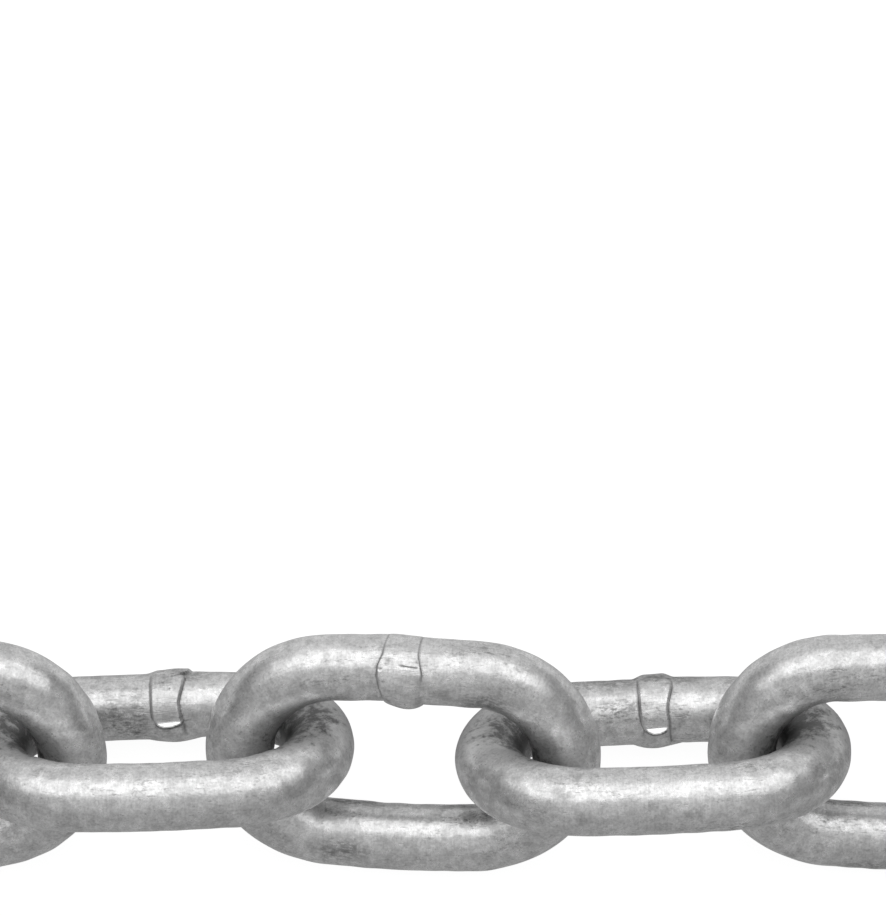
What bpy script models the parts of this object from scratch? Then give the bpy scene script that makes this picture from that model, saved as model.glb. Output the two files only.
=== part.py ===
"""A run of galvanised steel chain, eleven welded oval links, lying straight on a flat floor.

Every link is one closed solid: a round wire bent into an oval, with the raised flash of its
butt weld halfway along one bar. Neighbouring links stand square to each other and lean 45
degrees from the floor, by turns to the front and to the back. Each lies turned a degree or two
from the run's line, as a chain laid down by hand does. X runs along the chain, Y to the back
and Z up, and the origin is the middle of the run's base, on the floor.
"""

import math

import bmesh
import bpy
from mathutils import Matrix, Vector

# One link
WIRE = 0.0070
INSIDE_WIDTH = 0.0120
INSIDE_LENGTH = 0.0264
SECTION_SIDES = 16
CROWN_STEPS = 12

# The weld's flash: it stands proud all round, more on the side of the link's window
FLASH_LENGTH = 0.0042
FLASH_RAMP = 0.0005
FLASH_MEAN = 0.00038
FLASH_LEAN = 0.00029

# The run, from left to right: each link's turn on the floor in degrees, and how far each pair of
# neighbours lies apart at the crowns
TURNS = (-0.7, 1.5, -1.2, 0.0, 1.8, -2.9, 2.4, -1.5, 1.3, -1.6, 0.9)
SLACKS = (0.0006, 0.0008, 0.0008, 0.0011, 0.0012, 0.0009, 0.0006, 0.0008, 0.0007, 0.0009)
LEAN = math.radians(45)

# Worked out from these
WIRE_RADIUS = WIRE / 2
CROWN_RADIUS = (INSIDE_WIDTH + WIRE) / 2
CROWN_REACH = (INSIDE_LENGTH + WIRE) / 2
HALF_BAR = CROWN_REACH - CROWN_RADIUS
FACET_TURN = math.pi / SECTION_SIDES
CORNER_RADIUS = WIRE_RADIUS / math.cos(FACET_TURN)
HALF_FLASH = FLASH_LENGTH / 2

ZINC_COLOUR = (0.52, 0.53, 0.54, 1.0)
ZINC_ROUGHNESS = 0.42
MERGE_DISTANCE = 1e-6


def clear_scene():
    for thing in list(bpy.data.objects):
        bpy.data.objects.remove(thing, do_unlink=True)


def zinc_material():
    material = bpy.data.materials.new("galvanised_steel")
    material.use_nodes = True
    shader = material.node_tree.nodes["Principled BSDF"]
    shader.inputs["Base Color"].default_value = ZINC_COLOUR
    shader.inputs["Roughness"].default_value = ZINC_ROUGHNESS
    shader.inputs["Metallic"].default_value = 1.0
    return material


def first_ring(bm):
    """The wire's section at the left end of the front bar, flats towards the link's four sides."""
    place = (
        Matrix.Translation((-HALF_BAR, -CROWN_RADIUS, 0))
        @ Matrix.Rotation(math.pi / 2, 4, "Y")
        @ Matrix.Rotation(FACET_TURN, 4, "Z")
    )
    made = bmesh.ops.create_circle(
        bm, cap_ends=False, segments=SECTION_SIDES, radius=CORNER_RADIUS, matrix=place
    )
    return list({edge for vert in made["verts"] for edge in vert.link_edges})


def bar_ring(bm, ring, x, flash=0.0):
    """Extrudes the ring along a bar to x. flash is how much of the weld's flash it has there."""
    made = bmesh.ops.extrude_edge_only(bm, edges=ring)["geom"]
    for vert in (item for item in made if isinstance(item, bmesh.types.BMVert)):
        side = 1 if vert.co.y > 0 else -1
        angle = math.atan2(vert.co.z, side * vert.co.y - CROWN_RADIUS)
        radius = CORNER_RADIUS + flash * (FLASH_MEAN - FLASH_LEAN * math.cos(angle))
        vert.co = Vector(
            (x, side * (CROWN_RADIUS + radius * math.cos(angle)), radius * math.sin(angle))
        )
    return [item for item in made if isinstance(item, bmesh.types.BMEdge)]


def crown(bm, ring, x):
    """Turns the ring half a turn about the crown's centre, at x on the link's long axis."""
    made = bmesh.ops.spin(
        bm,
        geom=ring + list({vert for edge in ring for vert in edge.verts}),
        cent=(x, 0, 0),
        axis=(0, 0, 1),
        angle=math.pi,
        steps=CROWN_STEPS,
        use_duplicate=False,
    )
    return [item for item in made["geom_last"] if isinstance(item, bmesh.types.BMEdge)]


def link_mesh():
    """One link flat in the XY plane, its long axis on X and its weld on the bar at +Y."""
    bm = bmesh.new()
    ring = bar_ring(bm, first_ring(bm), HALF_BAR)
    ring = crown(bm, ring, HALF_BAR)
    foot = HALF_FLASH + FLASH_RAMP
    for x, flash in ((foot, 0), (HALF_FLASH, 1), (-HALF_FLASH, 1), (-foot, 0), (-HALF_BAR, 0)):
        ring = bar_ring(bm, ring, x, flash)
    crown(bm, ring, -HALF_BAR)
    bmesh.ops.remove_doubles(bm, verts=bm.verts, dist=MERGE_DISTANCE)
    bmesh.ops.recalc_face_normals(bm, faces=bm.faces)
    mesh = bpy.data.meshes.new("welded_link")
    bm.to_mesh(mesh)
    bm.free()
    mesh.shade_smooth()
    mesh.materials.append(zinc_material())
    return mesh


def heading(turn):
    """The direction of a link's long axis on the floor."""
    return Vector((math.cos(math.radians(turn)), math.sin(math.radians(turn)), 0))


def places_on_floor():
    """The links' middles from left to right. Each step is half a pitch along either neighbour."""
    places = [Vector((0, 0, 0))]
    for slack, turn, next_turn in zip(SLACKS, TURNS, TURNS[1:]):
        half_pitch = (INSIDE_LENGTH - slack) / 2
        places.append(places[-1] + half_pitch * (heading(turn) + heading(next_turn)))
    return places


def add_link(mesh, name, place, lean, turn):
    """Leans a link about its long axis, turns it on the floor and sets it down there."""
    link = bpy.data.objects.new(name, mesh)
    bpy.context.scene.collection.objects.link(link)
    leaning = Matrix.Rotation(lean, 3, "X")
    lowest = min((leaning @ vert.co).z for vert in mesh.vertices)
    link.rotation_euler = (lean, 0, math.radians(turn))
    link.location = (place.x, place.y, -lowest)
    return link


def add_links():
    """The run from left to right. Odd links lean to the front, with their weld near the floor."""
    mesh = link_mesh()
    links = []
    for number, (place, turn) in enumerate(zip(places_on_floor(), TURNS), start=1):
        lean = -LEAN if number % 2 else LEAN
        links.append(add_link(mesh, f"link_{number:02d}", place, lean, turn))
    return links


def centre_over_origin(links):
    """Moves the run so that the middle of its box is over the origin."""
    corners = [link.matrix_basis @ vert.co for link in links for vert in link.data.vertices]
    for axis in (0, 1):
        values = [corner[axis] for corner in corners]
        middle = (min(values) + max(values)) / 2
        for link in links:
            link.location[axis] -= middle


def keep_place_under(parent, child):
    child.parent = parent
    child.matrix_parent_inverse = parent.matrix_basis.inverted()


def hang_links(links):
    """Hangs each link on its neighbour towards the middle, at the wire of that neighbour's crown."""
    middle = len(links) // 2
    for index, link in enumerate(links):
        if index == middle:
            continue
        side = 1 if index > middle else -1
        inner = links[index - side]
        pivot = bpy.data.objects.new(f"pivot_of_{link.name}", None)
        bpy.context.scene.collection.objects.link(pivot)
        pivot.matrix_basis = inner.matrix_basis @ Matrix.Translation((side * CROWN_REACH, 0, 0))
        keep_place_under(inner, pivot)
        keep_place_under(pivot, link)


def build_chain():
    links = add_links()
    centre_over_origin(links)
    hang_links(links)


clear_scene()
build_chain()
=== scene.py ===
# %% [markdown]
# A run of galvanised steel chain, made from nothing but one welded link.
#
# On the real thing every link is a length of drawn wire, bent into an oval and butt-welded shut,
# then dipped in molten zinc with its neighbours. The construction model already says where each
# link lies and how it swings. This script gives the links their real surface: a round, slightly
# bowed wire, the weld with its creases and trimmed lip, and a cast zinc skin.
#
# The first lines load the construction model. Nothing in it is moved. Each of its links is
# measured, and then a finer link is made in the same place and takes over from it.

# %% The frame and the tools
import math

import bmesh
import bpy
import numpy as np
from mathutils import Matrix, Vector
from mathutils.bvhtree import BVHTree


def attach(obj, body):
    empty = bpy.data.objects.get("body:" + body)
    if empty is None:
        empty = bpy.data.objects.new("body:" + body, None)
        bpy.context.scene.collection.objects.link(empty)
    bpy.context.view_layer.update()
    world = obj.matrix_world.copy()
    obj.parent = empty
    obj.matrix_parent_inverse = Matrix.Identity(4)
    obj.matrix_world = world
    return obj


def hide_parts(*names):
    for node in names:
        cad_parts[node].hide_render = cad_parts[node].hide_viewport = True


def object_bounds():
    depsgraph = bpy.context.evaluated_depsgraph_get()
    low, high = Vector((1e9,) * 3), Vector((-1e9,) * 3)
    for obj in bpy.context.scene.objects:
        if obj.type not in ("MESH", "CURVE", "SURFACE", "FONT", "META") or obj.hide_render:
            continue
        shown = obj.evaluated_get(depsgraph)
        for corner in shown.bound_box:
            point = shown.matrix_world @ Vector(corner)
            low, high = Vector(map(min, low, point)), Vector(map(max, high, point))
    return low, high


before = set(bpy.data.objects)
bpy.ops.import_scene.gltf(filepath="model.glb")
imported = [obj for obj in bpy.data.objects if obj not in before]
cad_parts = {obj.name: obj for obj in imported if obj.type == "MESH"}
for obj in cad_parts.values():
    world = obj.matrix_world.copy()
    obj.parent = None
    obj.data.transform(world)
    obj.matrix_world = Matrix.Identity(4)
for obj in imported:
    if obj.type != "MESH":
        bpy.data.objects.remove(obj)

cad_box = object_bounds()
cad_size = [round(1000 * side, 1) for side in cad_box[1] - cad_box[0]]
LINK_NAMES = sorted(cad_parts)
print(len(LINK_NAMES), "links in a box of", cad_size, "mm")

# %% [markdown]
# Where does each link lie? Its node's mesh tells. The points of an oval link spread most along
# its long axis, less across it and least through it, so the directions of most and least spread
# are the link's own axes. The weld bar carries extra rings of points, and that shows which of the
# two bars it is. The result is a matrix from the link's own frame, flat with its weld at +Y, to
# its place on the floor.

# %% Measuring the links
WELD_ZONE = 0.003


def mesh_points(name):
    points = np.array([vert.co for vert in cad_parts[name].data.vertices], float)
    return np.unique(points.round(6), axis=0)


def middle_of(values):
    return (values.min() + values.max()) / 2


def link_place(name):
    """The matrix that takes a link from its own frame to where the construction model has it."""
    points = mesh_points(name)
    centroid = points.mean(axis=0)
    _, directions = np.linalg.eigh(np.cov((points - centroid).T))
    along = directions[:, 2] * np.sign(directions[0, 2])
    across = directions[:, 1]
    x = (points - centroid) @ along
    y = (points - centroid) @ across
    across = across * np.sign(y[np.abs(x) < WELD_ZONE].mean())
    normal = np.cross(along, across)
    local = (points - centroid) @ np.column_stack((along, across, normal))
    away_from_weld = np.abs(local[:, 0]) > 2 * WELD_ZONE
    middle = centroid + sum(
        middle_of(local[away_from_weld, axis]) * direction
        for axis, direction in enumerate((along, across, normal))
    )
    rows = np.column_stack((along, across, normal, middle)).tolist()
    return Matrix(rows + [[0, 0, 0, 1]])


def link_sizes(name):
    """Outer length, outer width and wire of a link, measured clear of its weld."""
    inverse = np.array(link_place(name).inverted())
    local = mesh_points(name) @ inverse[:3, :3].T + inverse[:3, 3]
    away_from_weld = np.abs(local[:, 0]) > 2 * WELD_ZONE
    return 2 * np.abs(local[away_from_weld]).max(axis=0)


places = {name: link_place(name) for name in LINK_NAMES}
OUTER_LENGTH, OUTER_WIDTH, WIRE = link_sizes(LINK_NAMES[len(LINK_NAMES) // 2])
print("a link is", *(round(1000 * size, 2) for size in (OUTER_LENGTH, OUTER_WIDTH, WIRE)), "mm")

# %% [markdown]
# The link starts as the real one does, as a round wire that is bent. A circle is the wire's
# section. Spin with an angle of nothing and a step sideways draws it out into a bar, and spin
# through half a turn bends a crown. Starting at the weld's middle and going once round brings the
# wire back to its own beginning, where its two ends are merged as the weld merges the real ones.
#
# Only the weld needs fine relief, so only its edges are subdivided. That keeps a link near seventy
# thousand triangles.

# %% Bending the wire
WIRE_SIDES = 64
HALF_BAR_STEPS = 20
CROWN_STEPS = 84
WELD_CUTS = 3
FINE_ZONE = 0.0036
MERGE = 1e-6
CROWN_RADIUS = (OUTER_WIDTH - WIRE) / 2
HALF_BAR = (OUTER_LENGTH - OUTER_WIDTH) / 2


def once_each(items):
    """Each item once, in the order met. A set would give another order in every run."""
    return list(dict.fromkeys(items))


def sweep(bm, ring, steps, angle=0.0, centre=(0, 0, 0), shift=(0, 0, 0)):
    """Draws a ring of edges along a bar or round a crown, and returns its last ring."""
    corners = once_each(vert for edge in ring for vert in edge.verts)
    made = bmesh.ops.spin(
        bm,
        geom=ring + corners,
        cent=centre,
        axis=(0, 0, -1),
        dvec=Vector(shift) / steps,
        angle=angle,
        steps=steps,
        use_duplicate=False,
    )
    return [item for item in made["geom_last"] if isinstance(item, bmesh.types.BMEdge)]


def in_fixed_order(bm):
    """The same mesh with its faces in one order. Spin writes them in another in every run."""
    bm.verts.index_update()
    again = bmesh.new()
    corners = [again.verts.new(vert.co) for vert in bm.verts]
    for face in sorted([vert.index for vert in face.verts] for face in bm.faces):
        again.faces.new([corners[index] for index in face])
    bm.free()
    return again


def bent_wire():
    """One plain link, flat in the XY plane, with the weld's middle at the middle of the +Y bar."""
    bm = bmesh.new()
    section = Matrix.Translation((0, CROWN_RADIUS, 0)) @ Matrix.Rotation(math.pi / 2, 4, "Y")
    circle = bmesh.ops.create_circle(bm, segments=WIRE_SIDES, radius=WIRE / 2, matrix=section)
    ring = once_each(edge for vert in circle["verts"] for edge in vert.link_edges)
    ring = sweep(bm, ring, HALF_BAR_STEPS, shift=(HALF_BAR, 0, 0))
    ring = sweep(bm, ring, CROWN_STEPS, angle=math.pi, centre=(HALF_BAR, 0, 0))
    ring = sweep(bm, ring, 2 * HALF_BAR_STEPS, shift=(-2 * HALF_BAR, 0, 0))
    ring = sweep(bm, ring, CROWN_STEPS, angle=math.pi, centre=(-HALF_BAR, 0, 0))
    sweep(bm, ring, HALF_BAR_STEPS, shift=(HALF_BAR, 0, 0))
    bmesh.ops.remove_doubles(bm, verts=bm.verts, dist=MERGE)
    return in_fixed_order(bm)


def at_weld(vert):
    return vert.co.y > 0 and abs(vert.co.x) < FINE_ZONE


def plain_link_mesh():
    bm = bent_wire()
    fine = [edge for edge in bm.edges if all(at_weld(vert) for vert in edge.verts)]
    bmesh.ops.subdivide_edges(bm, edges=fine, cuts=WELD_CUTS, use_grid_fill=True)
    bmesh.ops.recalc_face_normals(bm, faces=bm.faces)
    mesh = bpy.data.meshes.new("plain_link")
    bm.to_mesh(mesh)
    bm.free()
    return mesh


plain_link = plain_link_mesh()
print("the bent wire has", len(plain_link.polygons), "faces")

# %% [markdown]
# Everything that follows is said in the wire's own terms: how far along the wire a point is,
# counted from the weld, and how far round it, where nothing is the link's outer side, a quarter
# turn is +Z and half a turn faces the window. A blacksmith thinks of it in the same way, because
# marks from drawing, bending and welding all follow the wire.

# %% Along and round the wire
HALF_LOOP = 2 * HALF_BAR + math.pi * CROWN_RADIUS


def mesh_array(mesh):
    points = np.empty(3 * len(mesh.vertices), np.float32)
    mesh.vertices.foreach_get("co", points)
    return points.reshape(-1, 3).astype(float)


def wire_terms(points):
    """For each point: distance along the wire, angle round it, and the outward direction there."""
    x, y, z = points.T
    past_bar = np.maximum(np.abs(x) - HALF_BAR, 0)
    bend = np.arctan2(past_bar, y)
    bend = np.where(past_bar > 0, bend, np.where(y > 0, 0, math.pi))
    from_middle = np.minimum(np.abs(x), HALF_BAR)
    straight = np.where(y > 0, from_middle, 2 * HALF_BAR - from_middle)
    straight = np.where(past_bar > 0, HALF_BAR, straight)
    side = np.where(x < 0, -1, 1)
    along = side * (straight + CROWN_RADIUS * bend)
    outward = np.column_stack((side * np.sin(bend), np.cos(bend), np.zeros_like(x)))
    reach = np.hypot(past_bar, y) - CROWN_RADIUS
    reach = np.where(past_bar > 0, reach, np.abs(y) - CROWN_RADIUS)
    return along, np.arctan2(z, reach), outward


plain_points = mesh_array(plain_link)
ALONG, ROUND, OUTWARD = wire_terms(plain_points)
THROUGH = np.array((0.0, 0.0, 1.0))
CENTRELINE = np.column_stack((
    np.clip(plain_points[:, 0], -HALF_BAR, HALF_BAR),
    np.zeros(len(plain_points)),
    np.zeros(len(plain_points)),
)) + CROWN_RADIUS * OUTWARD
print("the wire is", round(2000 * HALF_LOOP, 1), "mm long before it is bent")

# %% [markdown]
# The weld is what tells one link from the next. The ends of the wire are pressed together red hot
# and the squeezed-out metal stands up as a collar, which a knife shears off where it would be in
# the way. What is left has a crease on either side, a shorn flat or two, and often a curled lip
# where the knife ran out. The zinc then rounds all of it.
#
# Each line across the wire is a short list of pairs, the angle round the wire in degrees and the
# distance from the link's middle in millimetres. Three links show their welds clearly, and the
# lists follow these three. The others get the same kinds of line with their own small changes,
# because no two welds in a chain are alike.

# %% The lines of the welds
MM = 0.001

HIGH_WELD_6 = {
    "left": [(-60, -1.7), (-7, -1.96), (11, -2.17), (39, -2.5), (58, -2.95), (75, -3.0), (96, -2.69),
             (129, -2.15), (200, -2.1)],
    "right": [(-60, 1.7), (-13, 1.48), (10, 1.32), (34, 1.25), (48, 1.4), (57, 1.54), (70, 1.7),
              (86, 1.57), (103, 1.4), (130, 1.6), (151, 1.85), (200, 1.85)],
    "left_creased": (-25, 118),
    "right_creased": (-25, 76),
    "domed": (136, 236),
    "dome_power": 0.6,
    "height": (0.34, 0.31),
    "lip": [(-0.7, 55.5), (0.2, 56.5), (1.2, 57)],
    "lip_from": 42,
    "lip_slope": 0.05,
    "lip_groove": 0.07,
    "step": 0.2,
    "step_at": -0.4,
    "step_towards": 151,
    "pits": [(-1.8, 50, 0.3), (-2.0, 57, 0.16), (-2.6, 65, 0.13), (-2.3, 86, 0.1), (1.1, 48, 0.15)],
}
LOW_WELD_5 = {
    "left": [(20, -0.9), (82, -0.74), (107, -0.78), (147, -0.8), (171, -0.66), (180, -0.3), (200, -0.2),
             (222, -0.8), (240, -1.1), (290, -1.0)],
    "right": [(20, 3.2), (60, 3.5), (78, 3.35), (93, 2.45), (101, 2.9), (123, 2.65), (134, 2.45),
              (149, 2.25), (160, 2.35), (182, 2.6), (208, 2.8), (224, 3.6), (240, 4.5), (290, 4.3)],
    "left_creased": (95, 188),
    "right_creased": (55, 208),
    "domed": (214, 300),
    "dome_power": 1.2,
    "height": (0.41, 0.16),
    "lip": [(-0.4, 178.5), (0.0, 181.7), (0.4, 183.8), (0.9, 185), (1.3, 184.8), (1.8, 183.5), (2.2, 181.8),
            (2.6, 179.5)],
    "lip_from": 176.5,
    "lip_slope": 0.9,
    "lip_groove": 0.22,
    "step": 0.2,
    "step_at": 0.8,
    "step_towards": 61,
    "pits": [(1.5, 101, 0.14), (1.8, 99, 0.14), (2.1, 97, 0.14), (2.4, 95, 0.14), (0.6, 112, 0.12),
             (1.2, 125, 0.12)],
}
LOW_WELD_7 = {
    "left": [(20, -1.2), (106, -1.04), (146, -1.05), (160, -0.98), (171, -0.87), (179, -0.71), (186, -0.5),
             (205, -0.8), (235, -1.5), (290, -1.5)],
    "right": [(20, 2.4), (109, 2.6), (121, 2.43), (132, 2.23), (143, 2.08), (153, 2.03), (173, 2.16),
              (184, 2.14), (200, 2.19), (224, 2.35), (245, 3.5), (290, 3.3)],
    "left_creased": (92, 190),
    "right_creased": (100, 228),
    "domed": (222, 300),
    "dome_power": 0.9,
    "height": (0.46, 0.12),
    "lip": [(-0.4, 180.5), (-0.1, 183.5), (0.3, 185.7), (0.7, 186.6), (1.1, 185.9), (1.5, 184), (1.9, 181)],
    "lip_from": 177,
    "lip_slope": 0.9,
    "lip_groove": 0.22,
    "step": 0.12,
    "step_at": 0.7,
    "step_towards": 61,
    "pits": [(-0.4, 88, 0.3), (0.3, 84, 0.35), (1.0, 86, 0.35), (1.7, 85, 0.35), (2.2, 90, 0.25),
             (-0.2, 96, 0.15), (0.9, 98, 0.15)],
}


# How much another weld differs: distances in millimetres, turns in degrees
WELD_SHIFT = 0.5
WELD_WIDER = 0.3
LINE_WAVE = 0.18
LIP_TURN = 2
STEP_MOST = 0.25
STEP_TURN = 20
PIT_REACH = 2
PIT_SIZE = 0.15
PITS = 3
CURLED_LIP = 0.5
WELD_SEED = 100


def moved(line, shift, rng):
    """The same line, moved along the wire and bent a little, for a weld of its own."""
    return [(angle, place + shift + LINE_WAVE * rng.uniform(-1, 1)) for angle, place in line]


def another_weld(weld, rng):
    shift = rng.uniform(-WELD_SHIFT, WELD_SHIFT)
    return {
        **weld,
        "left": moved(weld["left"], shift, rng),
        "right": moved(weld["right"], shift + rng.uniform(-WELD_WIDER, WELD_WIDER), rng),
        "lip": [(place + shift, angle + rng.uniform(-LIP_TURN, LIP_TURN)) for place, angle in weld["lip"]],
        "step": rng.uniform(-STEP_MOST, STEP_MOST),
        "step_at": weld["step_at"] + shift,
        "step_towards": weld["step_towards"] + rng.uniform(-STEP_TURN, STEP_TURN),
        "pits": [
            (rng.uniform(-PIT_REACH, PIT_REACH), rng.uniform(-180, 180), PIT_SIZE) for _ in range(PITS)
        ],
    }


def weld_of(number):
    studied = {5: LOW_WELD_5, 6: HIGH_WELD_6, 7: LOW_WELD_7}
    if number in studied:
        return studied[number]
    rng = np.random.default_rng(WELD_SEED + number)
    return another_weld((HIGH_WELD_6, LOW_WELD_5, HIGH_WELD_6, LOW_WELD_7)[number % 4], rng)


welds = {name: weld_of(number) for number, name in enumerate(LINK_NAMES, start=1)}
print("welds with a curled lip:", sum(weld["lip_slope"] > CURLED_LIP for weld in welds.values()))

# %% [markdown]
# The relief could be sculpted by hand, or painted as a displacement map. Here it is worked out
# for every point of the wire instead, so that it is exact at any zoom. Each piece of relief is a
# height above the plain wire. The collar rises as a quarter round from each crease, with a shallow
# valley beside the left one. Towards the window, where the knife didn't reach, it is a plain dome.
# The lip is a slow rise that ends in a sudden drop.

# %% The relief of a weld
COLLAR_EDGE = 0.38 * MM
CREASE_DEPTH = 0.08 * MM
CREASE_HALF = 0.09 * MM
LIP_DROP = 0.09 * MM
PIT_DEPTH = 0.1 * MM
VALLEY_DEPTH = 0.05 * MM
VALLEY_AWAY = 0.6 * MM
VALLEY_HALF = 0.5 * MM
SWELLING_FROM = -0.5 * MM
SWELLING_TO = 0.9 * MM
LIP_FADE_OUTSIDE = 0.1 * MM
LIP_FADE_INSIDE = 0.2 * MM
GROOVE_AT = 1.6 * LIP_DROP
ZONE_FADE_DEGREES = 12

# The painted shadow under a lip: its width in millimetres on a flat lip and what a slope adds, how
# softly it ends, and how dark it and the painted shade in a pit are beside a crease
SHADOW_WIDTH = 0.2
SHADOW_BY_SLOPE = 0.28
SHADOW_FADE = 0.15 * MM
SHADOW_DARK = 1.3
PIT_DARK = 0.8
DARKEST = 1.5

ANGLE = np.degrees(ROUND) % 360
NEAR_WELD = np.abs(ALONG) < 2 * FINE_ZONE


def smooth(start, end, values):
    share = np.clip((values - start) / (end - start), 0, 1)
    return share * share * (3 - 2 * share)


def quarter_round(share):
    return np.sqrt(1 - (1 - np.clip(share, 0, 1)) ** 2)


def notch(distance, half_width):
    return np.exp(-((distance / half_width) ** 2))


def angle_apart(angle):
    """Degrees from that angle to each point, from minus to plus half a turn."""
    return (ANGLE - angle + 180) % 360 - 180


def crossing(line):
    """How far along the wire a crease lies, at the angle of every point."""
    angles, distances = zip(*line)
    return MM * np.interp(ANGLE, angles, distances, period=360)


def between(start, end):
    """One between two angles and nothing outside them, fading over a few degrees."""
    half = (end - start) / 2
    apart = np.abs(angle_apart(start + half))
    return 1 - smooth(half - ZONE_FADE_DEGREES, half + ZONE_FADE_DEGREES, apart)


def collar_side(inside, creased):
    """A side of the collar: a steep quarter round over a crease, or a slow swelling without one."""
    steep = quarter_round(inside / COLLAR_EDGE)
    return creased * steep + (1 - creased) * smooth(SWELLING_FROM, SWELLING_TO, inside)


def collar_relief(weld):
    """At every point: the collar's height over the plain wire, and how deep in a crease it is, which also
    sets the crease's painted shade and dross.
    """
    from_left = ALONG - crossing(weld["left"])
    from_right = crossing(weld["right"]) - ALONG
    left_creased = between(*weld["left_creased"])
    right_creased = between(*weld["right_creased"])
    mean, lean = weld["height"]
    collar = collar_side(from_left, left_creased) * collar_side(from_right, right_creased)
    across = np.clip(from_left / (from_left + from_right), 0, 1)
    dome = np.clip(np.sin(math.pi * across), 0, 1) ** weld["dome_power"]
    domed = between(*weld["domed"])
    height = MM * (mean - lean * np.cos(ROUND)) * (domed * dome + (1 - domed) * collar)
    # The crease line also sets the painted shade and dross that darken the colour in the crease.
    crease_dross_and_shade = np.maximum(
        notch(from_left, CREASE_HALF) * left_creased, notch(from_right, CREASE_HALF) * right_creased
    )
    crease_dross_and_shade = crease_dross_and_shade * NEAR_WELD
    valley = notch(from_left + VALLEY_AWAY, VALLEY_HALF) * left_creased * NEAR_WELD
    return height - CREASE_DEPTH * crease_dross_and_shade - VALLEY_DEPTH * valley, crease_dross_and_shade


def lip_relief(weld):
    """At every point: the lip's height, the painted shadow under it, and how much on its shorn face, which
    is painted lighter as a highlight.
    """
    places_along, angles = zip(*weld["lip"])
    first = places_along[0] * MM
    last = places_along[-1] * MM
    ends = smooth(first - LIP_FADE_OUTSIDE, first + LIP_FADE_INSIDE, ALONG)
    ends = ends * (1 - smooth(last - LIP_FADE_INSIDE, last + LIP_FADE_OUTSIDE, ALONG))
    edge = np.interp(ALONG / MM, places_along, angles)
    past_start = np.radians(angle_apart(weld["lip_from"])) * WIRE / 2
    past_edge = np.radians(angle_apart(edge)) * WIRE / 2
    before_edge = 1 - smooth(0, LIP_DROP, past_edge)

    curl = weld["lip_slope"] * np.clip(past_start, 0, None) * before_edge
    height = ends * (curl - weld["lip_groove"] * MM * notch(past_edge - GROOVE_AT, LIP_DROP))
    shadow_end = (SHADOW_WIDTH + SHADOW_BY_SLOPE * weld["lip_slope"]) * MM
    before_shadow_end = 1 - smooth(shadow_end - SHADOW_FADE, shadow_end, past_edge)
    in_shadow = smooth(0, LIP_DROP, past_edge) * before_shadow_end
    # The shorn face of a curled lip, which the material paints lighter as a highlight.
    shorn_highlight = ends * smooth(0, LIP_DROP, past_start) * before_edge
    return height, SHADOW_DARK * ends * in_shadow, shorn_highlight * (weld["lip_slope"] > CURLED_LIP)


def weld_relief(weld):
    """At every point: height over the plain wire, how much painted shade and dross from creases, lip and
    pits, and how much on a shorn face.
    """
    height, crease_dross_and_shade = collar_relief(weld)
    lip, shadow, shorn_highlight = lip_relief(weld)
    height = height + lip
    # From here the crease note also holds the painted shadow under the lip and the painted shade in each
    # pit.
    crease_dross_and_shade = np.maximum(crease_dross_and_shade, shadow)
    for along, angle, size in weld["pits"]:
        far = np.hypot(ALONG - along * MM, np.radians(angle_apart(angle)) * WIRE / 2)
        height = height - PIT_DEPTH * notch(far, size * MM)
        crease_dross_and_shade = np.maximum(crease_dross_and_shade, PIT_DARK * notch(far, size * MM))
    return height, np.clip(crease_dross_and_shade, 0, DARKEST), shorn_highlight


for name in ("link_05", "link_06", "link_07"):
    heights, _, _ = weld_relief(welds[name])
    highest = round(heights.max() / MM, 2)
    lowest_dip = round(heights.min() / MM, 2)
    print(name, "weld stands up to", highest, "mm and dips to", lowest_dip)

# %% [markdown]
# Away from the weld, a real link still isn't a geometric oval. The bars bow outwards a little, some
# links are wider or narrower than others, and the plain bar has a slight shoulder before each
# crown. Both bars are drawn a little thinner than the crowns, the two ends of the wire meet a
# fraction of a millimetre out of line, and the zinc lies on it in slow swells of a few hundredths
# of a millimetre. All this is small, but highlights on a glossy rod show it at once.

# %% Bow, step and swells
BOW = 0.27 * MM
BOW_REACH = 9.5 * MM
BOW_INWARD = 0.1 * MM
SHOULDER = 0.14 * MM
SHOULDER_AT = 11.5 * MM
SHOULDER_HALF = 3.0 * MM
STEP_HALF = 1.7 * MM
STEP_REACH = 9.0 * MM
SWELL = 0.017 * MM
SWELLS = 26
MOST_WAVES_ALONG = 40
MOST_WAVES_ROUND = 3
WELD_BAR_THINNER = 0.11 * MM
PLAIN_BAR_THINNER = 0.065 * MM

# A bar keeps its own form this far from its middle, and has lost it in the crown
BAR_KEPT = 8 * MM
THINNER_UNTIL = 14 * MM
SHIFTED_UNTIL = 16 * MM

# Millimetres further out than usual: the weld bar, then the plain bar
BARS_OUT = {
    "link_05": (0.0, -0.07),
    "link_06": (0.12, 0.08),
    "link_07": (-0.43, -0.09),
    "link_08": (0.13, 0.18),
}
BARS_OUT_FROM = -0.1
BARS_OUT_TO = 0.12
BARS_SEED = 200
FROM_BAR_MIDDLE = np.minimum(np.abs(ALONG), HALF_LOOP - np.abs(ALONG))


def bars_out(name):
    """How many millimetres further out than usual a link's weld bar and plain bar are."""
    if name in BARS_OUT:
        return BARS_OUT[name]
    rng = np.random.default_rng(BARS_SEED + LINK_NAMES.index(name))
    return rng.uniform(BARS_OUT_FROM, BARS_OUT_TO, 2)


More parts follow.
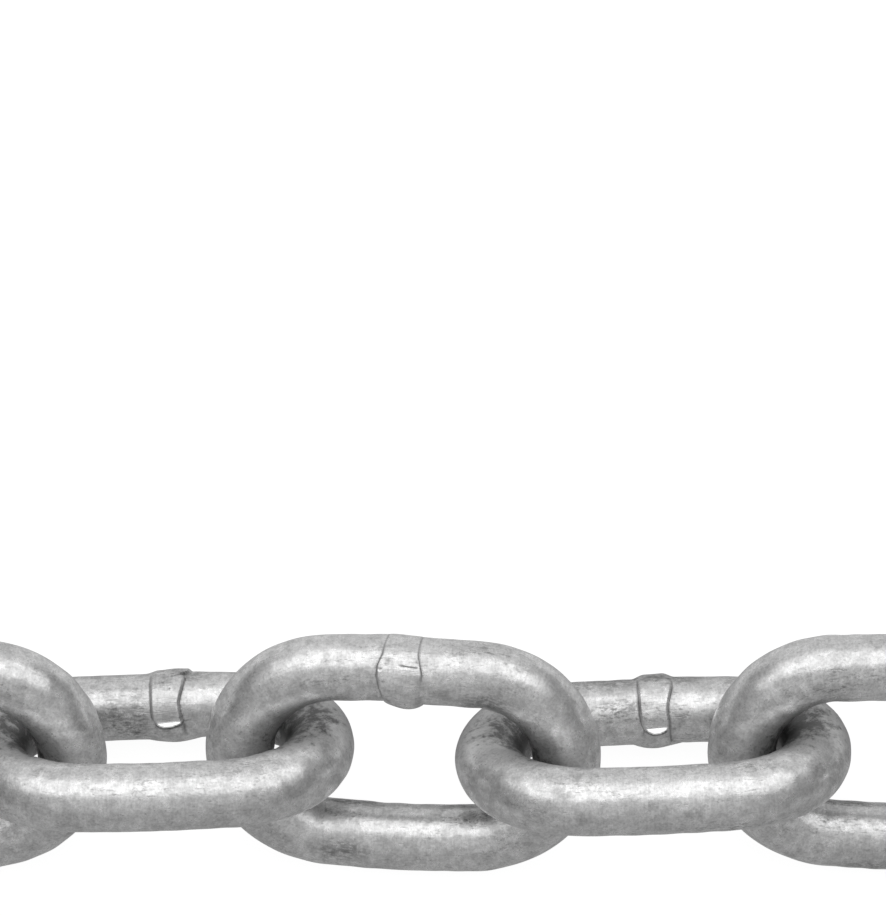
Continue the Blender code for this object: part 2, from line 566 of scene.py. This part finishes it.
def bow(name):
    """How far the wire's centre lies outside the plain oval."""
    out = BOW * np.cos(np.clip(FROM_BAR_MIDDLE / BOW_REACH, 0, 1) * math.pi / 2) ** 2
    weld_bar, plain_bar = bars_out(name)
    at_plain_bar = np.abs(ALONG) > HALF_LOOP / 2
    spread = np.where(at_plain_bar, plain_bar, weld_bar) * MM - BOW_INWARD
    out = out + spread * (1 - smooth(BAR_KEPT, SHIFTED_UNTIL, FROM_BAR_MIDDLE))
    return out - SHOULDER * at_plain_bar * notch(FROM_BAR_MIDDLE - SHOULDER_AT, SHOULDER_HALF)


def thinning():
    """Wire is drawn thinner where it is bent straight again, and most on the bar with the weld."""
    from_weld = np.abs(ALONG)
    weld_bar = WELD_BAR_THINNER * (1 - smooth(BAR_KEPT, THINNER_UNTIL, from_weld))
    plain_bar = PLAIN_BAR_THINNER * (1 - smooth(BAR_KEPT, THINNER_UNTIL, HALF_LOOP - from_weld))
    return weld_bar + plain_bar


def swells(rng):
    """Slow uneven zinc. Whole waves fit the closed loop and the full turn, so nothing tears."""
    total = np.zeros(len(ALONG))
    for _ in range(SWELLS):
        along_waves = rng.integers(-MOST_WAVES_ALONG, MOST_WAVES_ALONG + 1)
        round_waves = rng.integers(0, MOST_WAVES_ROUND + 1)
        phase = rng.uniform(0, 2 * math.pi)
        total += np.cos(along_waves * ALONG / HALF_LOOP * math.pi + round_waves * ROUND + phase)
    return SWELL * total * math.sqrt(2 / SWELLS)


def step_out_of_line(weld):
    """Half of the wire's misfit at the weld, one way for one end and the other way for the other."""
    from_step = ALONG - weld["step_at"] * MM
    share = 2 * smooth(-STEP_HALF, STEP_HALF, from_step) - 1
    share = share * (1 - smooth(0, STEP_REACH, np.abs(ALONG)))
    amount = weld["step"] * MM / 2 * share
    turn = math.radians(weld["step_towards"])
    return np.outer(amount * math.cos(turn), (0, 1, 0)) + np.outer(amount * math.sin(turn), THROUGH)


def shaped_link(number, name):
    """The points of one finished link in its own frame, the painted shade and dross of its creases, lip and
    pits, and its shorn face with its painted highlight.
    """
    weld = welds[name]
    height, crease_dross_and_shade, shorn_highlight = weld_relief(weld)
    radius = WIRE / 2 - thinning() + height + swells(np.random.default_rng(number))
    section = np.cos(ROUND)[:, None] * OUTWARD + np.outer(np.sin(ROUND), THROUGH)
    centre = CENTRELINE + bow(name)[:, None] * OUTWARD + step_out_of_line(weld)
    return centre + radius[:, None] * section, crease_dross_and_shade, shorn_highlight


print("the bars bow by", round(np.ptp(bow("link_06")) / MM, 2), "mm")

# %% [markdown]
# Each link is a copy of the bent wire with its points moved to their finished places. The place
# goes into the mesh, and the object stays at the origin, because the pattern of the zinc is laid
# out in the object's own coordinates.
#
# Four things are noted on the points for the material. The first is where they lie on the wire, so
# that scratches can run along it. It counts from the middle of either bar, so that the jump in it
# falls in the crown, where the material doesn't use it. The others say how much painted shade and
# dross a point gets in a crease, under the lip or in a pit, how much of it is the lip's shorn face,
# which is painted lighter as a highlight, and how near the weld it is.

# %% Making the links
LINK_APART = 0.1
BARS_APART = 0.05
WELD_NOTE_MIDDLE = 0.6 * MM
WELD_NOTE_FROM = 1.6 * MM
WELD_NOTE_TO = 3.4 * MM


def write_attribute(mesh, name, kind, values):
    field = "vector" if kind == "FLOAT_VECTOR" else "value"
    attribute = mesh.attributes.new(name, kind, "POINT")
    attribute.data.foreach_set(field, np.ascontiguousarray(values, np.float32).ravel())


def wire_coordinates(number):
    """Where each point lies on the wire. Every bar of every link has a place of its own."""
    on_weld_bar = np.abs(ALONG) < HALF_LOOP / 2
    from_bar_middle = np.where(on_weld_bar, ALONG, ALONG - np.sign(ALONG) * HALF_LOOP)
    apart = LINK_APART * number
    return np.column_stack((
        from_bar_middle,
        WIRE / 2 * np.cos(ROUND) + apart + BARS_APART * on_weld_bar,
        WIRE / 2 * np.sin(ROUND) + apart,
    ))


def make_link(number, name):
    mesh = plain_link.copy()
    mesh.name = f"zinc_{name}"
    points, crease_dross_and_shade, shorn_highlight = shaped_link(number, name)
    place = np.array(places[name])
    world = points @ place[:3, :3].T + place[:3, 3]
    mesh.vertices.foreach_set("co", world.astype(np.float32).ravel())
    write_attribute(mesh, "along_wire", "FLOAT_VECTOR", wire_coordinates(number))
    # The crease note: painted shade and dross in creases, under the lip and in pits.
    write_attribute(mesh, "crease_dross_and_shade", "FLOAT", crease_dross_and_shade)
    write_attribute(mesh, "shorn_highlight", "FLOAT", shorn_highlight)
    from_weld = np.abs(ALONG - WELD_NOTE_MIDDLE)
    write_attribute(mesh, "weld", "FLOAT", 1 - smooth(WELD_NOTE_FROM, WELD_NOTE_TO, from_weld))
    mesh.shade_smooth()
    mesh.update()
    link = bpy.data.objects.new(f"zinc_{name}", mesh)
    bpy.context.scene.collection.objects.link(link)
    return link


links = {name: make_link(number, name) for number, name in enumerate(LINK_NAMES, start=1)}
triangles = sum(len(face.vertices) - 2 for face in plain_link.polygons)
print(len(links), "links of", triangles, "triangles each")

# %% [markdown]
# Where two crowns meet, the zinc is rubbed dark and dirt collects, and shade falls between the
# links, so the darkening there is partly real and partly painted shade. How near each point lies to
# the neighbouring links is measured with a search tree, and becomes a fifth note on the points. The
# painted shade and dirt reach further on the odd links than on the even ones.

# %% Rubbed and shaded places
REACH_ON_ODD_LINKS = 6.0 * MM
REACH_ON_EVEN_LINKS = 3.0 * MM
IN_CROWN = smooth(BAR_KEPT, THINNER_UNTIL, FROM_BAR_MIDDLE)


def rub_and_shade_of(index, name):
    """How rubbed every point of a link is, which also sets painted shade between the links. The index
    counts from nothing, so odd ones are even links.
    """
    names = LINK_NAMES[max(index - 1, 0):index] + LINK_NAMES[index + 1:index + 2]
    reach = REACH_ON_EVEN_LINKS if index % 2 else REACH_ON_ODD_LINKS
    points = mesh_array(links[name].data)
    rub_and_shade = np.zeros(len(points))
    for neighbour in names:
        tree = trees[neighbour]
        for i, point in enumerate(points):
            near = tree.find_nearest(point.tolist(), reach)
            if near[0] is not None:
                rub_and_shade[i] = max(rub_and_shade[i], 1 - near[3] / reach)
    return rub_and_shade


def tree_of(link):
    faces = [tuple(face.vertices) for face in link.data.polygons]
    return BVHTree.FromPolygons(mesh_array(link.data).tolist(), faces)


trees = {name: tree_of(link) for name, link in links.items()}
for index, name in enumerate(LINK_NAMES):
    # Painted shade and real rubbing: the closer a point in a crown lies to a neighbour, the darker it is.
    write_attribute(links[name].data, "rub_and_shade", "FLOAT", rub_and_shade_of(index, name) * IN_CROWN)
print("rubbed places found on", len(LINK_NAMES), "links")

# %% [markdown]
# Dirt also sits in patches along the bars, where hands and the bench have left it. The links in the
# picture get theirs where it lies on them, and the others get a few patches at random. A patch is
# its distance from the weld, its angle round the wire, and half its length and width in the same
# terms. The plain bar's middle is half the loop away from the weld. How dirty a point is becomes
# the sixth and last note.

# %% Patches of dirt
LOOP = 2 * HALF_LOOP / MM
PLAIN_BAR = LOOP / 2
DIRT = {
    5: [(-2.2, 172, 1.3, 55), (-4.2, 165, 2.6, 26), (3.4, 92, 2.0, 16)],
    6: [(PLAIN_BAR + 5.0, 190, 3.4, 22), (PLAIN_BAR - 6.5, 196, 2.6, 16), (PLAIN_BAR + 6.0, 88, 3.0, 24),
        (8.5, 118, 3.4, 20)],
    7: [(-3.4, 84, 3.2, 24), (0.7, 88, 1.6, 15), (3.6, 84, 2.2, 20), (-3.0, 140, 3.0, 14)],
    8: [(PLAIN_BAR + 3.0, 52, 4.0, 18), (PLAIN_BAR + 6.0, 190, 3.0, 20)],
}
DIRT_ALONG = 8
DIRT_HALF_LENGTHS = (1.5, 4)
DIRT_HALF_WIDTHS = (14, 30)
DIRT_FULL = 0.4
DIRT_GONE = 1.3
DIRT_SEED = 300


def dirt_patches(number):
    if number in DIRT:
        return DIRT[number]
    rng = np.random.default_rng(DIRT_SEED + number)
    patches = []
    for bar in (0, 0, PLAIN_BAR, PLAIN_BAR):
        along = bar + rng.uniform(-DIRT_ALONG, DIRT_ALONG)
        angle = rng.uniform(0, 360)
        half_length = rng.uniform(*DIRT_HALF_LENGTHS)
        half_width = rng.uniform(*DIRT_HALF_WIDTHS)
        patches.append((along, angle, half_length, half_width))
    return patches


def dirt_of(number):
    """How dirty every point of a link is, from nothing to one."""
    dirt = np.zeros(len(ALONG))
    for along, angle, half_length, half_width in dirt_patches(number):
        apart = (ALONG / MM - along + LOOP / 2) % LOOP - LOOP / 2
        far = np.hypot(apart / half_length, angle_apart(angle) / half_width)
        dirt = np.maximum(dirt, 1 - smooth(DIRT_FULL, DIRT_GONE, far))
    return dirt


for number, link in enumerate(links.values(), start=1):
    write_attribute(link.data, "dirt", "FLOAT", dirt_of(number))
patch_counts = [len(dirt_patches(number)) for number in range(1, len(links) + 1)]
print("patches of dirt on a link:", *patch_counts)

# %% [markdown]
# Galvanised steel is a dull metal, not grey paint. The zinc froze on the link as it left the bath,
# so its skin is mottled at a millimetre or so, speckled with dross, and uneven underfoot: pale and
# a little glossier in one patch, darker and duller in the next. Its thin white oxide scatters the
# light that the metal under it mirrors, so the shader is two thirds metal. Noises of three sizes
# move its colour and its bump together, and the middle one moves its roughness too.
#
# A picture of zinc could be wrapped round the link instead, but a noise has no seam and no grain
# of its own size, and it holds up close to the camera.

# %% Helpers for nodes
NOISE_LOW = 0.3
NOISE_HIGH = 0.7


def add(tree, kind, settings=None, **inputs):
    """Adds a node. An input gets either a value or the output that feeds it."""
    made = tree.nodes.new("ShaderNode" + kind)
    for name, value in (settings or {}).items():
        setattr(made, name, value)
    for name, value in inputs.items():
        socket = made.inputs[name.replace("_", " ")]
        if isinstance(value, bpy.types.NodeSocket):
            tree.links.new(value, socket)
        else:
            socket.default_value = value
    return made


def noise(tree, vector, size, detail=2.0, roughness=0.5):
    """A soft random pattern whose blots are about this size."""
    made = add(tree, "TexNoise", Vector=vector, Scale=1 / size, Detail=detail, Roughness=roughness)
    return made.outputs["Fac"]


def ramp(tree, value, start, end, low=0.0, high=1.0):
    made = add(
        tree, "MapRange", {"interpolation_type": "SMOOTHSTEP"},
        Value=value, From_Min=start, From_Max=end, To_Min=low, To_Max=high,
    )
    return made.outputs["Result"]


def math_node(tree, operation, first, second):
    made = tree.nodes.new("ShaderNodeMath")
    made.operation = operation
    for socket, value in zip(made.inputs, (first, second)):
        if isinstance(value, bpy.types.NodeSocket):
            tree.links.new(value, socket)
        else:
            socket.default_value = value
    return made.outputs["Value"]


def product(tree, *values):
    total = values[0]
    for value in values[1:]:
        total = math_node(tree, "MULTIPLY", total, value)
    return total


def sum_of(tree, *values):
    total = values[0]
    for value in values[1:]:
        total = math_node(tree, "ADD", total, value)
    return total


def varied(tree, pattern, low, high):
    """A noise as a factor. It seldom leaves its middle, so only that part is used."""
    return ramp(tree, pattern, NOISE_LOW, NOISE_HIGH, low, high)


def darkened(tree, mask, share):
    """A factor for a colour: one where the mask is nothing, and less by this share where it is full."""
    return math_node(tree, "SUBTRACT", 1.0, product(tree, mask, share))


def stretched(tree, vector, along, across):
    """The vector for a noise whose blots are this long along the wire and this wide across it."""
    made = add(tree, "Mapping", Vector=vector)
    made.inputs["Scale"].default_value = (1 / along, 1 / across, 1 / across)
    return made.outputs["Vector"]


# %% The zinc skin
ZINC = 0.7
# Painted highlight: the colour of the lip's shorn face, lighter than the zinc.
SHORN_HIGHLIGHT = 0.9
METAL_SHARE = 0.68
ZINC_ROUGHNESS = 0.31
BUMP_DEPTH = 0.034 * MM

# How much darker each kind of mark makes the zinc
DARKER = {
    "blotches": 0.22,
    "specks": 0.25,
    "wisps": 0.22,
    "shade_and_dross_in_creases": 0.5,
    "stains_and_shade": 0.8,
    "cracks": 0.28,
    "marks": 0.5,
    "grime": 0.5,
    "scratches": 0.2,
}


def zinc_material():
    material = bpy.data.materials.new("galvanised_steel")
    material.use_nodes = True
    tree = material.node_tree
    shader = tree.nodes["Principled BSDF"]
    shader.inputs["Metallic"].default_value = METAL_SHARE
    here = add(tree, "TexCoord").outputs["Object"]
    wire = add(tree, "Attribute", {"attribute_name": "along_wire"})
    # The crease note carries painted shade and dross.
    crease_dross_and_shade = add(tree, "Attribute", {"attribute_name": "crease_dross_and_shade"}).outputs["Fac"]
    weld = add(tree, "Attribute", {"attribute_name": "weld"}).outputs["Fac"]
    # The rub note carries painted shade between the links as well as real rubbing.
    rub_and_shade = add(tree, "Attribute", {"attribute_name": "rub_and_shade"}).outputs["Fac"]
    shorn_highlight = add(tree, "Attribute", {"attribute_name": "shorn_highlight"}).outputs["Fac"]
    dirt = add(tree, "Attribute", {"attribute_name": "dirt"}).outputs["Fac"]
    distance = add(tree, "SeparateXYZ", Vector=wire.outputs["Vector"]).outputs["X"]
    from_middle = math_node(tree, "ABSOLUTE", distance, 0)
    on_bar = ramp(tree, from_middle, BAR_KEPT, SHIFTED_UNTIL, 1, 0)

    wire = wire.outputs["Vector"]
    clouds = noise(tree, here, 6 * MM, 3)
    mottle = noise(tree, here, 1.1 * MM, 4, 0.6)
    grain = noise(tree, here, 0.28 * MM, 3, 0.7)
    blotches = ramp(tree, noise(tree, here, 2.6 * MM, 5, 0.65), 0.56, 0.68)
    specks = ramp(tree, noise(tree, here, 0.45 * MM, 2), 0.66, 0.74)
    wisps = noise(tree, stretched(tree, wire, 1.6 * MM, 0.3 * MM), 1.0, 3, 0.6)
    wisps = product(tree, on_bar, ramp(tree, wisps, 0.62, 0.7))
    lines = noise(tree, stretched(tree, wire, 0.14 * MM, 2.5 * MM), 1.0, 2, 0.5)
    scratches = noise(tree, stretched(tree, wire, 4.0 * MM, 0.09 * MM), 1.0, 2, 0.6)
    ragged = sum_of(tree, product(tree, grain, 0.35), product(tree, mottle, 0.65), -0.5)
    # Painted shade and real rubbing: the zinc is darkened near the neighbouring links.
    stains_and_shade = ramp(tree, sum_of(tree, rub_and_shade, product(tree, ragged, 2.2)), 0.3, 0.85)
    folds = noise(tree, stretched(tree, wire, 2.6 * MM, 1.1 * MM), 1.0, 3, 0.6)
    folds = ramp(tree, math_node(tree, "ABSOLUTE", sum_of(tree, folds, -0.5), 0), 0.0, 0.02, 1, 0)
    cracks = product(tree, folds, ramp(tree, noise(tree, here, 3.2 * MM, 2), 0.52, 0.62))
    dirty = ramp(tree, noise(tree, stretched(tree, wire, 14 * MM, 2.5 * MM), 1.0, 3, 0.6), 0.5, 0.66)
    streaks = noise(tree, stretched(tree, wire, 0.7 * MM, 0.28 * MM), 1.0, 4, 0.75)
    marks = ramp(tree, streaks, 0.5, 0.62)
    grime = product(tree, dirt, ramp(tree, streaks, 0.42, 0.56, 0.3, 1.0))

    colour = product(
        tree,
        ZINC,
        varied(tree, clouds, 0.92, 1.08),
        varied(tree, mottle, 0.84, 1.13),
        varied(tree, grain, 0.84, 1.13),
        varied(tree, lines, 0.96, 1.04),
        darkened(tree, blotches, DARKER["blotches"]),
        darkened(tree, specks, DARKER["specks"]),
        darkened(tree, wisps, DARKER["wisps"]),
        # Painted shade and dross in the creases, under the lip and in the pits
        darkened(tree, crease_dross_and_shade, DARKER["shade_and_dross_in_creases"]),
        # Painted shade between the links, with real rubbing and dirt
        darkened(tree, stains_and_shade, DARKER["stains_and_shade"]),
        darkened(tree, cracks, DARKER["cracks"]),
        darkened(tree, product(tree, on_bar, dirty, marks), DARKER["marks"]),
        darkened(tree, grime, DARKER["grime"]),
        darkened(tree, product(tree, weld, ramp(tree, scratches, 0.58, 0.68)), DARKER["scratches"]),
    )
    # Painted highlight: the lip's shorn face is given a lighter colour.
    colour = sum_of(
        tree,
        product(tree, colour, darkened(tree, shorn_highlight, 1.0)),
        product(tree, shorn_highlight, SHORN_HIGHLIGHT),
    )
    tree.links.new(colour, shader.inputs["Base Color"])
    roughness = sum_of(
        tree,
        ZINC_ROUGHNESS - 0.04,
        varied(tree, mottle, 0.05, 0.0),
        product(tree, blotches, 0.02),
        product(tree, stains_and_shade, 0.12),
        product(tree, shorn_highlight, -0.05),
    )
    tree.links.new(roughness, shader.inputs["Roughness"])
    height = sum_of(
        tree,
        product(tree, mottle, 1.0),
        product(tree, grain, 0.35),
        product(tree, clouds, 0.4),
        product(tree, wisps, -0.3),
        product(tree, weld, scratches, 1.0),
    )
    height = product(tree, height, darkened(tree, shorn_highlight, 0.8))
    bump = add(tree, "Bump", Height=height, Distance=BUMP_DEPTH, Strength=1.0)
    tree.links.new(bump.outputs["Normal"], shader.inputs["Normal"])
    return material


zinc = zinc_material()
print("the zinc skin has", len(zinc.node_tree.nodes), "nodes")

# %% [markdown]
# Every finished link takes over from its plain one and swings with it.

# %% Hanging the skin on the construction model
for name, link in links.items():
    link.data.materials.append(zinc)
    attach(link, name)
    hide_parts(name)
bpy.data.meshes.remove(plain_link)
print(len(links), "links ride on their bodies")

# %% [markdown]
# The floor and the air round it are plain and pale. Polished rods show whatever is round them, so
# the light is really a set of reflections. A wide soft panel overhead and a little to the back
# gives the long highlight on the upper part of each bar. The floor looks pale to the camera, but
# the metal sees it as grey with painted shade: darkest under the back half of the chain, lighter in
# front, and lightest further back, in place of the chain's own shade on it. The air is darker at the
# horizon and past the chain's ends. That keeps the undersides of the bars and the crowns grey, as
# they are on a lit table in a darker room.

# %% The floor
FLOOR_SIDE = 6.0
FLOOR_NEAR = 0.24
FLOOR_IN_FRONT = 0.38
FLOOR_BEHIND = 0.64
FLOOR_CHANGES_FROM = 0.006
FLOOR_CHANGES_TO = 0.032
FLOOR_COLOUR = 0.2
FLOOR_GLOW = 0.93


def grey(value):
    return (value, value, value, 1.0)


def floor_material():
    material = bpy.data.materials.new("pale_floor")
    material.use_nodes = True
    tree = material.node_tree
    tree.nodes.remove(tree.nodes["Principled BSDF"])
    to_camera = add(tree, "BsdfDiffuse", Color=grey(FLOOR_COLOUR))
    glow = add(tree, "Emission", Color=grey(1.0), Strength=FLOOR_GLOW)
    both = tree.nodes.new("ShaderNodeAddShader")
    tree.links.new(to_camera.outputs["BSDF"], both.inputs[0])
    tree.links.new(glow.outputs["Emission"], both.inputs[1])
    depth = add(tree, "SeparateXYZ", Vector=add(tree, "TexCoord").outputs["Object"]).outputs["Y"]
    # Painted shade: to the metal, the floor is darkest near and under the chain.
    behind = ramp(
        tree, depth, FLOOR_CHANGES_FROM, FLOOR_CHANGES_TO, 0.0, FLOOR_BEHIND - FLOOR_NEAR
    )
    in_front = ramp(tree, depth, 0.0, FLOOR_CHANGES_FROM, FLOOR_IN_FRONT - FLOOR_NEAR, 0.0)
    shade = sum_of(tree, FLOOR_NEAR, behind, in_front)
    to_metal = add(tree, "Emission", Color=grey(1.0), Strength=shade)
    choice = tree.nodes.new("ShaderNodeMixShader")
    ray = add(tree, "LightPath")
    tree.links.new(ray.outputs["Is Camera Ray"], choice.inputs["Fac"])
    tree.links.new(to_metal.outputs["Emission"], choice.inputs[1])
    tree.links.new(both.outputs["Shader"], choice.inputs[2])
    tree.links.new(choice.outputs["Shader"], tree.nodes["Material Output"].inputs["Surface"])
    return material


def make_floor(height):
    bm = bmesh.new()
    place = Matrix.Translation((0, 0, height))
    bmesh.ops.create_grid(bm, x_segments=1, y_segments=1, size=FLOOR_SIDE / 2, matrix=place)
    mesh = bpy.data.meshes.new("floor")
    bm.to_mesh(mesh)
    bm.free()
    mesh.materials.append(floor_material())
    floor = bpy.data.objects.new("floor", mesh)
    bpy.context.scene.collection.objects.link(floor)
    return floor


lowest = min(mesh_array(link.data)[:, 2].min() for link in links.values())
floor = make_floor(lowest)
print("the floor is at", round(lowest / MM, 3), "mm")

# %% The light
WORLD_AT_HORIZON = 0.34
WORLD_OVERHEAD = 0.57
OVERHEAD_FROM = 0.9
SIDES_SHARE = 0.25
SIDES_FROM = 0.3
WORLD_TO_CAMERA = 0.97
PANEL_DISTANCE = 0.6
PANEL_LEAN = math.radians(16)
PANEL_LONG = 1.3
PANEL_WIDE = 0.62
PANEL_BRIGHTNESS = 1.02
CARD_BRIGHTNESS = 0.28
CARD_DISTANCE = 0.8
CARD_LONG = 1.4
CARD_HIGH = 0.75


def pale_air():
    """Air that is pale to the camera, grey to the metal, and darker past the chain's ends."""
    world = bpy.data.worlds.new("pale_air")
    world.use_nodes = True
    tree = world.node_tree
    background = tree.nodes["Background"]
    direction = add(tree, "SeparateXYZ", Vector=add(tree, "TexCoord").outputs["Generated"])
    sideways = math_node(tree, "ABSOLUTE", direction.outputs["X"], 0)
    around = product(
        tree,
        ramp(tree, direction.outputs["Z"], 0.0, OVERHEAD_FROM, WORLD_AT_HORIZON, WORLD_OVERHEAD),
        ramp(tree, sideways, SIDES_FROM, 1.0, 1.0, SIDES_SHARE),
    )
    to_camera = add(tree, "LightPath").outputs["Is Camera Ray"]
    shade = math_node(tree, "MAXIMUM", around, product(tree, to_camera, WORLD_TO_CAMERA))
    tree.links.new(shade, background.inputs["Color"])
    return world


def soft_panel(name, long, wide, brightness, place, lean):
    """A rectangle that glows evenly, its long side along the chain, leaning back from overhead."""
    lamp = bpy.data.lights.new(name, "AREA")
    lamp.shape = "RECTANGLE"
    lamp.size = long
    lamp.size_y = wide
    lamp.energy = brightness * math.pi * long * wide
    panel = bpy.data.objects.new(name, lamp)
    bpy.context.scene.collection.objects.link(panel)
    panel.location = place
    panel.rotation_euler = (-lean, 0, 0)
    return panel


overhead = (0, PANEL_DISTANCE * math.sin(PANEL_LEAN), PANEL_DISTANCE * math.cos(PANEL_LEAN))
soft_panel("panel", PANEL_LONG, PANEL_WIDE, PANEL_BRIGHTNESS, overhead, PANEL_LEAN)
behind = (0, CARD_DISTANCE, CARD_HIGH / 2)
soft_panel("card", CARD_LONG, CARD_HIGH, CARD_BRIGHTNESS, behind, math.radians(90))
bpy.context.scene.world = pale_air()
bpy.context.scene.view_settings.view_transform = "Standard"
print("a panel of", PANEL_LONG, "by", PANEL_WIDE, "m and a card behind")

# %% [markdown]
# The camera stands in front of the chain and looks down on it, 16 degrees off the vertical. The
# chain lies near the bottom of the upright picture, so the camera's own axis passes behind it and
# is less steep.

# %% The camera
# The picture's height, the focal length and the row that the aim falls on are in pixels
PICTURE_HEIGHT = 916
SENSOR = 36.0
FOCAL_PIXELS = 5167
AIM = Vector((3.76, 0.08, 10.32)) * MM
AIM_ROW = 752
SIGHT_ELEVATION = math.radians(74)
SIGHT_DISTANCE = 0.528
NEAREST_SEEN = 0.01
FURTHEST_SEEN = 20


def make_camera():
    data = bpy.data.cameras.new("camera")
    data.sensor_width = SENSOR
    data.lens = FOCAL_PIXELS * SENSOR / PICTURE_HEIGHT
    data.clip_start = NEAREST_SEEN
    data.clip_end = FURTHEST_SEEN
    camera = bpy.data.objects.new("camera", data)
    bpy.context.scene.collection.objects.link(camera)
    back = Vector((0, -math.cos(SIGHT_ELEVATION), math.sin(SIGHT_ELEVATION)))
    camera.location = AIM + SIGHT_DISTANCE * back
    drop = math.atan((AIM_ROW - PICTURE_HEIGHT / 2) / FOCAL_PIXELS)
    axis_elevation = SIGHT_ELEVATION - drop
    camera.rotation_euler = (math.pi / 2 - axis_elevation, 0, 0)
    return camera


bpy.context.scene.camera = make_camera()
print("lens", round(bpy.context.scene.camera.data.lens), "mm")
